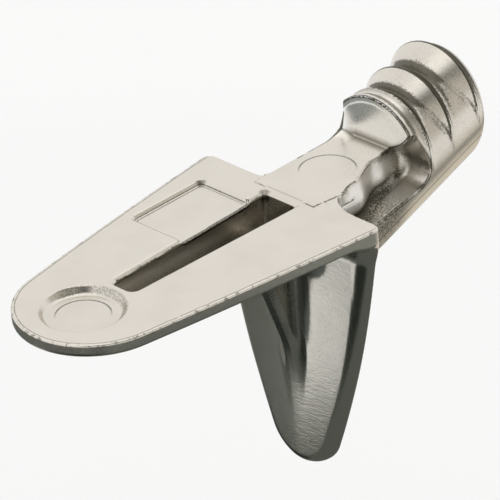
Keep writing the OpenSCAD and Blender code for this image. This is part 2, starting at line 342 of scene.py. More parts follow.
@dataclass
class Neck:
    """The neck between the plate and the plug, with its flat top and lobed right side.

    Attributes:
        lobes: Middle, spread and bulge of each round lobe, along the neck.
        flare: How much the right side widens at the height flare_z.
        side_scale: Evens out the slope of the right side's field.
        pad: The flat top's right side, how it widens, from where and how far.
        left_step: How far the flat top's left side runs on into the corner.
        core_l: How far the core runs on into the plug.
    """

    left: float = 1.72
    right: float = 1.5
    waist: float = 0.98
    step_y: float = 2.8
    step_l: float = 1.8
    taper: float = 0.07
    rise: float = 0.08
    top_edge_r: float = 0.03
    pad: tuple[float, float, float, float] = (1.66, 0.16, -0.4, 1.3)
    pad_l: float = 0.58
    pad_t: float = 0.4
    left_step: float = 0.3
    length: float = 4.8
    core_l: float = 1.2
    core_z: float = -1.9
    corner_r: float = 1.9
    left_corner_r: float = 0.45
    under_corner_r: float = 0.35
    corner_l: float = 0.2
    corner_edge_r: float = 0.08
    low_edge_r: float = 0.1
    plate_t: float = 0.56
    flare: float = 0.2
    flare_z: float = -0.85
    flare_h: float = 0.62
    side_scale: float = 0.85
    lobes: tuple[tuple[float, float, float], ...] = ((2.1, 0.55, 0.08), (4.0, 0.5, 0.1))

    def right_side(self, x: Array, y: Array, z: Array) -> Array:
        """Distances to the right side: an edge that steps in, over two round lobes."""
        half = self.step_l / 2
        step = blend(self.step_y - half, self.step_y + half, y)
        wall = self.right + (self.waist - self.right) * step - self.taper * (y - self.step_y)
        low = np.exp(-(((z - self.flare_z) / self.flare_h) ** 2))
        wall = wall + self.flare * low
        for middle, spread, bulge in self.lobes:
            wall = wall + bulge * low * np.exp(-(((y - middle) / spread) ** 2))
        return (x - wall) * self.side_scale

    def keep(self, x: Array, y: Array, z: Array) -> Array:
        """Distances to all that the pockets beside the neck leave standing."""
        side = self.right_side(x, y, z)
        web = np.maximum(join(side, y, self.corner_r), -self.plate_t - z)
        right = np.minimum(web, join(side, y, self.under_corner_r))
        return np.where(x > 0.0, right, join(-x - self.left, y, self.left_corner_r))

    def body(self, x: Array, y: Array, z: Array) -> Array:
        """Distances to the neck's core and its flat top, which runs on over the plate.

        The pockets trim its sides.
        """
        edge, widening, start, stretch = self.pad
        right = x - edge - np.clip(y - start, 0.0, stretch) * widening
        left = -x - self.left - self.left_step * blend(0.0, self.left_step, y)
        side = np.maximum(np.maximum(right, left), -self.pad_l - y)
        side = np.maximum(side, y - self.length - self.core_l)
        d = meet(side, z - self.rise, self.top_edge_r)
        d = np.maximum(d, np.minimum(-OVERLAP - y, -self.pad_t - z))
        return np.maximum(d, self.core_z - z)

    def corners(self, x: Array, y: Array, z: Array) -> Array:
        """Distances to the round corners by the plate, which are as thick as it is."""
        right = join(x - self.right, y, self.corner_r)
        side = np.where(x > 0.0, right, join(-x - self.left, y, self.left_corner_r))
        side = np.maximum(side, x - self.right - self.corner_r)
        side = np.maximum(side, -x - self.left - self.left_corner_r)
        side = np.maximum(side, y - self.corner_r)
        d = meet(np.maximum(side, -y - self.corner_l), z, self.corner_edge_r)
        return meet(d, -self.plate_t - z, self.low_edge_r)


@dataclass
class Plug:
    """The tilted round bar with three ribs, its collar and the pockets beside the neck.

    Attributes:
        end: Distance from the wall to the plug's end, from the frame.
        rib_l: How far a rib's block runs on before its foot and behind its crest.
        face_blend: How far the buttress blends in on each side of the face's left edge.
        pocket_side_r: Radius between a pocket's floor and the neck.
    """

    end: float
    radius: float = 2.5
    tilt: float = math.radians(19.0)
    ref_y: float = 6.38
    ref_z: float = -0.5
    end_r: float = 0.42
    face_y: float = 4.8
    root_depth: float = 3.7
    flat_edge_r: float = 0.35
    crests: tuple[float, ...] = (5.58, 6.90, 8.50)
    crest_rise: float = 0.38
    crest_edge_r: float = 0.04
    first_drop: float = 0.2
    back_l: float = 0.34
    back_slope: float = 0.2
    rib_l: Span = (0.5, 0.55)
    groove_r: float = 0.16
    collar_l: float = 0.3
    collar_low: float = 0.05
    collar_edge_r: float = 0.08
    pocket_end: float = 5.52
    pocket_r: float = 0.85
    pocket_floor: float = 1.3
    pocket_slope: float = math.radians(10.0)
    pocket_lean: float = math.radians(12.7)
    pocket_side_r: float = 0.4
    face_left: float = 1.37
    face_blend: Span = (0.45, 0.75)
    face_r: float = 2.0
    face_x: float = 0.3
    face_low: float = 0.02
    face_t: float = 0.4
    face_foot_r: float = 0.06
    face_edge_r: float = 0.12
    buttress_r: float = 1.3

    def mid_z(self, y: Union[Array, float]) -> Any:
        """Height of the middle of the bar at a distance y from the wall."""
        return self.ref_z + (y - self.ref_y) * math.tan(self.tilt)

    def bar_top(self, y: float) -> float:
        """Height of the top of the bar at a distance y from the wall."""
        return self.mid_z(y) + self.radius / math.cos(self.tilt)

    def bar(self, x: Array, y: Array, z: Array) -> Array:
        """Distances to the bar, flat below its root and rounded at its end."""
        w = (z - self.mid_z(y)) * math.cos(self.tilt)
        d = np.hypot(x, w) - self.radius
        d = meet(d, -self.root_depth - z, self.flat_edge_r)
        return np.maximum(d, -OVERLAP - y)

    def rib(self, i: int, x: Array, y: Array, z: Array) -> Array:
        """Distances to one rib: a ramp that rises to a crest, and a steep slope behind it."""
        crest = self.crests[i]
        mid = self.bar_top(crest) + self.crest_rise - self.radius
        foot = self.crests[i - 1] + self.back_l if i else self.face_y + self.collar_l
        foot_r = self.bar_top(foot) - mid if i else self.radius - self.first_drop
        rise = (self.radius - foot_r) / (crest - foot)
        fall = (self.radius + mid - self.bar_top(crest + self.back_l)) / self.back_l
        fall += self.back_slope
        tall = np.hypot(x, z - mid) - self.radius
        ramp = (tall - (y - crest) * rise) / math.hypot(1.0, rise)
        back = (tall + (y - crest) * fall) / math.hypot(1.0, fall)
        d = meet(ramp, back, self.crest_edge_r)
        before, after = self.rib_l
        return np.maximum(np.maximum(d, foot - before - y), y - crest - after)

    def collar(self, x: Array, y: Array, z: Array) -> Array:
        """Distances to the collar in front of the first rib."""
        mid = self.bar_top(self.crests[0]) + self.crest_rise - self.radius
        d = np.hypot(x, z - mid) - self.radius + self.collar_low
        d = meet(d, y - self.face_y - self.collar_l, self.collar_edge_r)
        return np.maximum(d, self.face_y - self.face_low - y)

    def front_cut(self, x: Array, y: Array, z: Array, rise: float) -> Array:
        """Distances to the space in front of the plug's face, above the neck's top at rise.

        On the left it ends in a large concave round.
        """
        plain = meet(y - self.face_y, rise - z, self.face_foot_r)
        round_side = meet(y - self.face_y, rise - z, self.buttress_r)
        before, after = self.face_blend
        t = blend(self.face_left - before, self.face_left + after, -x)
        return plain * (1.0 - t) + round_side * t

    def pocket(self, y: Array, z: Array) -> Array:
        """Distances to a pocket in side view: a sloping floor and a round end."""
        my = self.pocket_end - self.pocket_r
        mz = self.pocket_r - self.pocket_floor
        s, c = math.sin(self.pocket_slope), math.cos(self.pocket_slope)
        floor = (y - my) * s - (z - mz) * c - self.pocket_r
        s, c = math.sin(self.pocket_lean), math.cos(self.pocket_lean)
        back = (y - my) * c + (z - mz) * s - self.pocket_r
        return meet(floor, back, self.pocket_r)

    def right_pocket(self, x: Array, y: Array, z: Array, keep: Array) -> Array:
        """Distances to the pocket on the right, under the round corner of the face."""
        disc = np.hypot(x - self.face_x, z - self.face_low - self.face_r) - self.face_r
        disc = np.maximum(disc, self.face_y - self.face_t - y)
        d = meet(self.pocket(y, z), -keep, self.pocket_side_r)
        return np.maximum(meet(d, -disc, self.face_edge_r), -x)

    def left_flat(self, x: Array, y: Array, z: Array, keep: Array) -> Array:
        """Distances to the flat on the neck's left side, which ends in a round corner."""
        return np.maximum(meet(self.pocket(y, z), -keep, self.pocket_side_r), x)


@dataclass
class Casting:
    """The whole casting, built from its parts in the order in which they blend.

    Attributes:
        low_edge_z: Heights between which the leg's back edges turn into the plate's rim.
        groove: Fillet in front of a rib, and how soon behind the crest it grows.
        face_edge_r, pocket_edge_r, cut_edge_r: Rounding of the edges of what is cut out.
    """

    plate: Plate
    leg: Leg
    neck: Neck
    plug: Plug
    rib_fillet: float = 0.4
    trough_fillet: float = 0.3
    plate_fillet: float = 0.5
    low_edge_z: Span = (-1.0, -0.6)
    groove: Span = (0.03, 0.15)
    back_fillet: float = 0.05
    face_edge_r: float = 0.07
    pocket_edge_r: float = 0.08
    cut_edge_r: float = 0.05
    slot_edge_r: float = 0.045

    def front(self, x: Array, y: Array, z: Array) -> Array:
        """Distances to the plate and the leg, still without what is cut into the plate."""
        plate, leg = self.plate, self.leg
        under = join(leg.body(x, y, z), leg.rib(x, y, z), self.rib_fillet)
        under = join(under, leg.trough(x, y, z), self.trough_fillet)
        d = join(-plate.thick - z, under, self.plate_fillet)
        gain = (plate.low_edge_r - leg.back_edge_r) * blend(*self.low_edge_z, z)
        d = meet(d, plate.trim(x, y, z), leg.back_edge_r + gain)
        return meet(d, z, plate.top_edge_r)

    def back(self, x: Array, y: Array, z: Array) -> Array:
        """Distances to the neck and the plug."""
        neck, plug = self.neck, self.plug
        keep = neck.keep(x, y, z)
        d = np.minimum(plug.bar(x, y, z), neck.body(x, y, z))
        d = np.minimum(d, plug.collar(x, y, z))
        least, run = self.groove
        for i, crest in enumerate(plug.crests):
            fillet = least + plug.groove_r * blend(crest, crest + run, y)
            d = join(d, plug.rib(i, x, y, z), fillet)
        d = meet(d, y - plug.end, plug.end_r)
        d = cut(d, plug.front_cut(x, y, z, neck.rise), self.face_edge_r)
        d = cut(d, plug.right_pocket(x, y, z, keep), self.pocket_edge_r)
        d = cut(d, plug.left_flat(x, y, z, keep), self.pocket_edge_r)
        return join(d, neck.corners(x, y, z), self.back_fillet)

    def distance(self, x: Array, y: Array, z: Array) -> Array:
        """Distances to the casting's surface, negative inside, all in millimetres."""
        plate = self.plate
        d = join(self.front(x, y, z), self.back(x, y, z), self.back_fillet)
        d = cut(d, plate.recess(x, y, z), self.cut_edge_r)
        d = cut(d, plate.slot(x, y, z), self.slot_edge_r)
        return cut(d, plate.dimple(x, y, z), self.cut_edge_r)


# ---- meshing


def stand(name: str, data: Any) -> bpy.types.Object:
    """Puts a new object in the scene."""
    thing = bpy.data.objects.new(name, data)
    bpy.context.scene.collection.objects.link(thing)
    return thing


class Mark(Enum):
    """What the mesher notes at each point of the surface."""

    CREASE = "crease"
    HOLLOW = "hollow"
    VALLEY = "valley"
    EDGE = "edge"
    CARVED = "carved"
    BACK = "back"


# How far each mark looks, in millimetres, and whether it looks out (1) or in (-1).
MARK_REACH = {
    Mark.CREASE: (0.2, 1),
    Mark.HOLLOW: (0.5, 1),
    Mark.VALLEY: (0.9, 1),
    Mark.EDGE: (0.12, -1),
}
# How near a cut the surface counts as carved.
CARVED_REACH = 0.09
# It counts as plain if the field changes by this share of the reach, both out and in.
PLAIN_REACH = 0.2
PLAIN_SHARE = 0.985
# Size of a cell; cells along a block; blocks in a batch.
CELL = 0.06
BLOCK = 8
BATCH = 400
# Half a block's diagonal, and the slack with which it is compared to a distance.
HALF_DIAGONAL = 0.87
SLACK = 1.6
# Steps for a slope, and the least squared slope and the least length to divide by.
SETTLE_STEP = 0.01
NORMAL_STEP = 0.015
LEAST_SLOPE = 0.25
TINY = 1e-9
# How far the mesh stays inside its box, its most triangles, and how much rather than the
# others its plain places are thinned.
CLEAR = 0.002
MOST_TRIANGLES = 190000
THIN_FACTOR = 30.0


@dataclass
class Mesher:
    """Turns a distance field into a closed mesh of quads.

    Attributes:
        low: Lowest corner of the box to mesh, in millimetres.
        high: Highest corner.
        step: Size of a cell.
        shape: The distance field.
        carved: The field of what is cut out of it.
    """

    low: Array
    high: Array
    step: float
    shape: Field
    carved: Field

    def marks(self, points: Array, normals: Array) -> dict[Mark, Array]:
        """Measures how hollow and how sharp the surface is at each point, for the finish's painted
        shade.

        Args:
            points: The points, in millimetres.
            normals: The normals there.

        Returns:
            Each mark's values, between 0 and 1.
        """
        found = {}
        for mark, (reach, way) in MARK_REACH.items():
            x, y, z = (points + normals * reach * way).T
            found[mark] = np.clip(1.0 - way * self.shape(x, y, z) / reach, 0.0, 1.0)
        away = np.abs(self.carved(*points.T))
        found[Mark.CARVED] = 1.0 - blend(CARVED_REACH / 2, CARVED_REACH, away)
        found[Mark.BACK] = np.clip(normals[:, 1], 0.0, 1.0)
        return found

    def sample(self) -> tuple[Array, Array]:
        """Samples the field densely near the surface only.

        Returns:
            The samples and the place of the first one.
        """
        size = BLOCK * self.step
        origin = self.low - 2 * self.step
        count = np.ceil((self.high + 2 * self.step - origin) / size).astype(int)
        samples = np.empty(count * BLOCK, np.float32)
        starts = np.stack(np.meshgrid(*[np.arange(n) for n in count], indexing="ij"), -1)
        starts = starts.reshape(-1, 3)
        mid = origin + (starts + 0.5) * size
        rough = self.shape(*mid.T)
        near = np.abs(rough) < size * HALF_DIAGONAL * SLACK
        inner = np.arange(BLOCK)
        cube = np.stack(np.meshgrid(inner, inner, inner, indexing="ij"), -1).reshape(-1, 3)
        view = samples.reshape(count[0], BLOCK, count[1], BLOCK, count[2], BLOCK)
        view = view.transpose(0, 2, 4, 1, 3, 5)
        far = np.where(rough < 0, -1.0, 1.0).astype(np.float32)
        view[...] = far.reshape(count)[..., None, None, None]
        chosen = starts[near]
        for part in np.array_split(chosen, max(1, len(chosen) // BATCH)):
            places = origin + (part[:, None, :] * BLOCK + cube[None]) * self.step
            flat = places.reshape(-1, 3)
            value = self.shape(*flat.T).astype(np.float32)
            blocks = value.reshape(-1, BLOCK, BLOCK, BLOCK)
            view[part[:, 0], part[:, 1], part[:, 2]] = blocks
        log.info("sampled %d of %d blocks", len(chosen), len(starts))
        return samples, origin

    def surface(self) -> tuple[Array, Array]:
        """Finds the surface: one point in each cell that it crosses, and the quads between.

        Returns:
            The points and the quads.
        """
        value, origin = self.sample()
        inside = value < 0
        total = np.zeros(np.array(value.shape) - 1, np.int8)
        corners = [(i, j, k) for i in (0, 1) for j in (0, 1) for k in (0, 1)]
        nx, ny, nz = total.shape
        for i, j, k in corners:
            total += inside[i : nx + i, j : ny + j, k : nz + k]
        cells = np.argwhere((total > 0) & (total < 8))
        number = np.full(total.shape, -1, np.int32)
        number[tuple(cells.T)] = np.arange(len(cells))
        at = {c: value[tuple((cells + c).T)].astype(float) for c in corners}
        place = np.zeros((len(cells), 3))
        weight = np.zeros(len(cells))
        for a in corners:
            for axis in range(3):
                if a[axis] == 1:
                    continue
                b = tuple(1 if n == axis else a[n] for n in range(3))
                crosses = (at[a] < 0) != (at[b] < 0)
                t = np.where(crosses, at[a] / np.where(crosses, at[a] - at[b], 1.0), 0.0)
                point = np.array(a, float)[None, :] + t[:, None] * np.eye(3)[axis]
                place += point * crosses[:, None]
                weight += crosses
        points = origin + (cells + place / weight[:, None]) * self.step
        quads = []
        for axis in range(3):
            u, v = (axis + 1) % 3, (axis + 2) % 3
            edges = np.argwhere(np.diff(inside, axis=axis))
            edges = edges[(edges[:, u] > 0) & (edges[:, v] > 0)]
            leaving = inside[tuple(edges.T)]
            du, dv = np.eye(3, dtype=int)[u], np.eye(3, dtype=int)[v]
            ring = [number[tuple((edges - s).T)] for s in (du * 0, du, du + dv, dv)]
            quad = np.stack(ring, 1)
            quad[~leaving] = quad[~leaving][:, ::-1]
            quads.append(quad)
        return points, np.concatenate(quads)

    def slope(self, points: Array, reach: float) -> tuple[Array, Array]:
        """The field and its slope at some points, from samples a reach away on each side."""
        shape = self.shape
        steps = np.eye(3) * reach
        slopes = [shape(*(points + step).T) - shape(*(points - step).T) for step in steps]
        return shape(*points.T), np.stack(slopes, 1) / (2 * reach)

    def normals(self, points: Array) -> Array:
        """The field's slopes at some points, of length 1."""
        _, slope = self.slope(points, NORMAL_STEP)
        return slope / np.maximum(np.linalg.norm(slope, axis=1, keepdims=True), TINY)

    def settle(self, points: Array) -> Array:
        """Moves points onto the surface, by no more than a third of a cell."""
        value, slope = self.slope(points, SETTLE_STEP)
        length = np.maximum((slope**2).sum(1), LEAST_SLOPE)
        move = -slope * (value / length)[:, None]
        far = np.linalg.norm(move, axis=1)
        most = self.step / 3
        move *= np.minimum(1.0, most / np.maximum(far, TINY))[:, None]
        return points + move

    def plain(self, points: Array) -> Array:
        """Finds the points away from every edge and crease, where the mesh may be thinned."""
        normals = self.normals(points)
        far = np.ones(len(points), bool)
        for way in (-1, 1):
            x, y, z = (points + normals * PLAIN_REACH * way).T
            far &= way * self.shape(x, y, z) > PLAIN_SHARE * PLAIN_REACH
        return far

    def build(self, name: str) -> bpy.types.Object:
        """Makes the finished object, in metres, with smooth normals from the field.

        Args:
            name: The object's name.

        Returns:
            The object.
        """
        points, quads = self.surface()
        points = self.settle(points)
        points = np.clip(points, self.low + CLEAR, self.high - CLEAR)
        log.info("%s: %d points and %d quads before thinning", name, len(points), len(quads))
        mesh = bpy.data.meshes.new(name)
        mesh.from_pydata((points * MM).tolist(), [], quads.tolist())
        mesh.update()
        piece = stand(name, mesh)
        count = 2 * len(quads)
        if count > MOST_TRIANGLES:
            loose = piece.vertex_groups.new(name="loose")
            loose.add(np.flatnonzero(self.plain(points)).tolist(), 1.0, "REPLACE")
            thin = piece.modifiers.new("thin", "DECIMATE")
            thin.ratio = MOST_TRIANGLES / count
            thin.vertex_group = loose.name
            thin.vertex_group_factor = THIN_FACTOR
            graph = bpy.context.evaluated_depsgraph_get()
            fine = bpy.data.meshes.new_from_object(piece.evaluated_get(graph))
            piece.modifiers.clear()
            piece.data = fine
            bpy.data.meshes.remove(mesh)
            mesh = fine
            mesh.name = name
        flat = np.empty(len(mesh.vertices) * 3)
        mesh.vertices.foreach_get("co", flat)
        points = flat.reshape(-1, 3) / MM
        mesh.polygons.foreach_set("use_smooth", np.ones(len(mesh.polygons), bool))
        normals = self.normals(points)
        mesh.normals_split_custom_set_from_vertices(normals.tolist())
        for mark, value in self.marks(points, normals).items():
            made = mesh.attributes.new(mark.value, "FLOAT", "POINT")
            made.data.foreach_set("value", value.astype(np.float32))
        mesh.update()
        log.info("%s: %d points, %d faces", name, len(mesh.vertices), len(mesh.polygons))
        return piece


# ---- shader maths

Value = Union["Wire", float]
Colour = tuple[float, float, float, float]


def operator(kind: str, swapped: bool = False) -> Callable[["Wire", Value], "Wire"]:
    """Makes an operator's method; a reflected operator swaps the two values."""

    def method(wire: "Wire", other: Value) -> "Wire":
        return wire.maths(kind, other, wire) if swapped else wire.maths(kind, wire, other)

    return method


class Wire:
    """A socket that takes part in Python sums: each operator adds a Math node."""

    def __init__(self, tree: "Shader", socket: Any) -> None:
        """Wraps a socket of the tree."""
        self.tree = tree
        self.socket = socket

    def maths(self, kind: str, *values: Value) -> "Wire":
        """Adds one Math node of that kind."""
        return self.tree.node("ShaderNodeMath", {"operation": kind}, values)

    __add__, __radd__ = operator("ADD"), operator("ADD", True)
    __sub__, __rsub__ = operator("SUBTRACT"), operator("SUBTRACT", True)
    __mul__, __rmul__ = operator("MULTIPLY"), operator("MULTIPLY", True)
    __truediv__, __rtruediv__ = operator("DIVIDE"), operator("DIVIDE", True)
    __pow__, __rpow__ = operator("POWER"), operator("POWER", True)

    def __abs__(self) -> "Wire":
        """The value without its sign."""
        return self.maths("ABSOLUTE", self)

    def length_with(self, other: "Wire") -> "Wire":
        """Length of the two values taken as the sides of a right angle."""
        return (self * self + other * other) ** 0.5

    def step(self, low: float, high: float) -> "Wire":
        """0 below low, 1 above high and smooth between; low may be above high."""
        return self.tree.node(
            "ShaderNodeMapRange",
            {"interpolation_type": "SMOOTHSTEP", "clamp": True},
            {"Value": self, "From Min": low, "From Max": high},
        )


class Shader:
    """One material's node tree, and the few kinds of node that the finishes use."""

    def __init__(self, name: str) -> None:
        """Starts a material with a Principled shader."""
        self.material = bpy.data.materials.new(name)
        self.material.use_nodes = True
        self.nodes = self.material.node_tree.nodes
        self.links = self.material.node_tree.links
        self.inputs = self.nodes["Principled BSDF"].inputs

    def set(self, socket: Any, value: Any) -> None:
        """Links a wire to a socket, or writes a plain value on it."""
        if isinstance(value, Wire):
            self.links.new(value.socket, socket)
        else:
            socket.default_value = value

    def dress(self, **values: Any) -> None:
        """Sets the Principled shader's inputs, with _ for a space in their names."""
        for name, value in values.items():
            self.set(self.inputs[name.replace("_", " ")], value)

    def node(
        self,
        kind: str,
        settings: dict[str, Any] | None = None,
        inputs: Union[Sequence[Any], dict[Any, Any]] = (),
        output: Union[int, str] = 0,
    ) -> Wire:
        """Adds a node.

        Args:
            kind: The node's type.
            settings: Its own settings, which are set first.
            inputs: Values or wires for its sockets, in order or by name.
            output: Which of its outputs to return.

        Returns:
            That output.
        """
        node = self.nodes.new(kind)
        for key, value in (settings or {}).items():
            setattr(node, key, value)
        pairs = inputs.items() if isinstance(inputs, dict) else enumerate(inputs)
        for key, value in pairs:
            self.set(node.inputs[key], value)
        return Wire(self, node.outputs[output])

    def mix(self, amount: Value, first: Any, second: Any) -> Wire:
        """A colour between two others."""
        return self.node(
            "ShaderNodeMix",
            {"data_type": "RGBA", "clamp_factor": True},
            {"Factor": amount, 6: first, 7: second},
            2,
        )


# ---- finish

X, Y, Z = range(3)


class Grain(Enum):
    """Kinds of noise: features in a millimetre, detail, roughness and squeeze along Z."""

    WAVE = (0.5, 2.0, 0.5, 1.0)
    CAST = (16.0, 3.0, 0.6, 1.0)
    FINE = (45.0, 2.0, 0.6, 1.0)
    SPECK = (13.0, 3.0, 0.75, 1.0)
    HAIR = (1.7, 3.0, 0.6, 5.5)
    CHIP = (3.6, 3.0, 0.65, 1.0)
    WANDER = (1.6, 2.0, 0.5, 1.0)


class Zone(Enum):
    """Soft boxes: along each axis named, from 0 at the first place to 1 at the second."""

    TOP = ((Z, -0.5, -0.35),)
    RIM = ((Z, -0.16, -0.08), (Y, -0.1, -0.3))
    CUT = ((Z, 0.0, -0.03),)
    CUT_FOOT = ((Z, -0.35, -0.28),)
    CUT_EDGES = ((Z, -0.4, -0.3),)
    SLOT = ((Z, -0.22, -0.30), (Y, -10.2, -10.0))
    LEG = ((Z, -0.8, -1.6), (Y, 0.1, -0.1))
    OFF_LEG = ((Y, -1.0, -1.5),)
    RIB_RIGHT = ((X, 0.2, 0.35),)
    UNDERSIDE = ((Z, -0.4, -0.6), (Y, 0.1, 0.0))
    PAD_LEFT = ((X, -1.3, -1.6), (Y, 0.15, 0.05))
    BEHIND = ((Y, 0.1, 0.4),)
    DULL = ((Y, 1.0, 3.0),)
    LOBES = ((X, 0.8, 1.1), (Y, -0.1, 0.4), (Y, 5.0, 4.6), (Z, 0.0, -0.12), (Z, -1.6, -1.2))
    NECK_LOW = ((Y, 0.0, 0.1), (Y, 4.8, 3.2), (Z, -1.1, -1.5))
    FACE = ((Y, 4.93, 4.86), (Y, 3.7, 4.5), (Z, 0.1, 0.5))
    FACE_FOOT = ((Y, 4.1, 4.5), (Z, 0.7, 0.5), (Z, -0.1, 0.0))
    RIBS = ((Y, 5.3, 5.6), (Y, 8.95, 8.8))
    SEAM = ((X, 1.4, 1.6), (Y, 1.0, 1.4), (Y, 8.95, 8.8))


class Onset(Enum):
    """Marks, each with where it starts to show and where it shows in full."""

    CREST = (Mark.EDGE, 0.10, 0.26)
    CUT_EDGE = (Mark.EDGE, 0.02, 0.10)
    CUT_FOOT = (Mark.CREASE, 0.01, 0.07)
    CUT_WALL = (Mark.CREASE, 0.0, 0.3)
    CREASE = (Mark.CREASE, 0.04, 0.22)
    HOLLOW = (Mark.HOLLOW, 0.10, 0.55)
    BEND = (Mark.VALLEY, 0.03, 0.25)
    VALLEY = (Mark.VALLEY, 0.0, 0.10)
    BACK = (Mark.BACK, 0.15, 0.4)


class Surface(Shader):
    """The part's shader: places on it, with their noise, marks and zones."""

    def __init__(self, name: str) -> None:
        """Starts the material with the wires that every mask begins from."""
        super().__init__(name)
        self.known: dict[Union[Mark, Zone], Wire] = {}
        here = self.node("ShaderNodeTexCoord", output="Object")
        scale = {0: here, "Scale": 1 / MM}
        self.place = self.node("ShaderNodeVectorMath", {"operation": "SCALE"}, scale)
        parts = [self.node("ShaderNodeSeparateXYZ", {}, [self.place], i) for i in range(3)]
        self.axes = self.x, self.y, self.z = parts
        self.speck = self.noise(Grain.SPECK).step(0.38, 0.62)

    def noise(self, grain: Grain) -> Wire:
        """Smooth noise between 0 and 1."""
        scale, detail, rough, squeeze = grain.value
        by = (1.0, 1.0, squeeze)
        place = self.node("ShaderNodeVectorMath", {"operation": "MULTIPLY"}, [self.place, by])
        inputs = {"Vector": place, "Scale": scale, "Detail": detail, "Roughness": rough}
        return self.node("ShaderNodeTexNoise", {"noise_dimensions": "3D"}, inputs)

    def mark(self, mark: Mark) -> Wire:
        """What the mesher noted, between 0 and 1."""
        if mark not in self.known:
            settings = {"attribute_name": mark.value}
            self.known[mark] = self.node("ShaderNodeAttribute", settings, (), "Fac")
        return self.known[mark]

    def shown(self, onset: Onset, more: Value = 0.0) -> Wire:
        """How far a mark shows, with more added to it, between 0 and 1."""
        mark, low, high = onset.value
        return (self.mark(mark) + more).step(low, high)

    def zone(self, zone: Zone) -> Wire:
        """How far a place lies within a zone, between 0 and 1."""
        if zone not in self.known:
            inside: Value = 1.0
            for axis, low, high in zone.value:
                inside = self.axes[axis].step(low, high) * inside
            self.known[zone] = inside
        return self.known[zone]

    def away(self, x: float, y: float) -> Wire:
        """Distances in plan from a point, in millimetres."""
        return (self.x - x).length_with(self.y - y)

    def specked(self, amount: Span) -> Wire:
        """An amount of darkening: the least there is, and what the specks add."""
        return self.speck * amount[1] + amount[0]


@dataclass(frozen=True)
class ShadeAndGrime:
    """How dark each kind of place is painted: painted shade in most, and the real seam and nicks.
    A pair is the least and what specks add.
    """

    crease: float = 0.62
    hollow: float = 0.25
    lobes: float = 0.45
    slot: Span = (0.10, 0.06)
    cut_wall: float = 0.25
    cut_corner: float = 0.6
    dimple: float = 0.5
    neck: Span = (0.25, 0.6)
    off_leg: float = 0.5
    leg: float = 0.8
    valley: float = 0.9
    back: float = 0.95
    line: Span = (0.62, 0.4)
    ring: Span = (0.6, 0.4)
    seam: float = 0.6
    rim: float = 0.62
    nick: float = 0.6


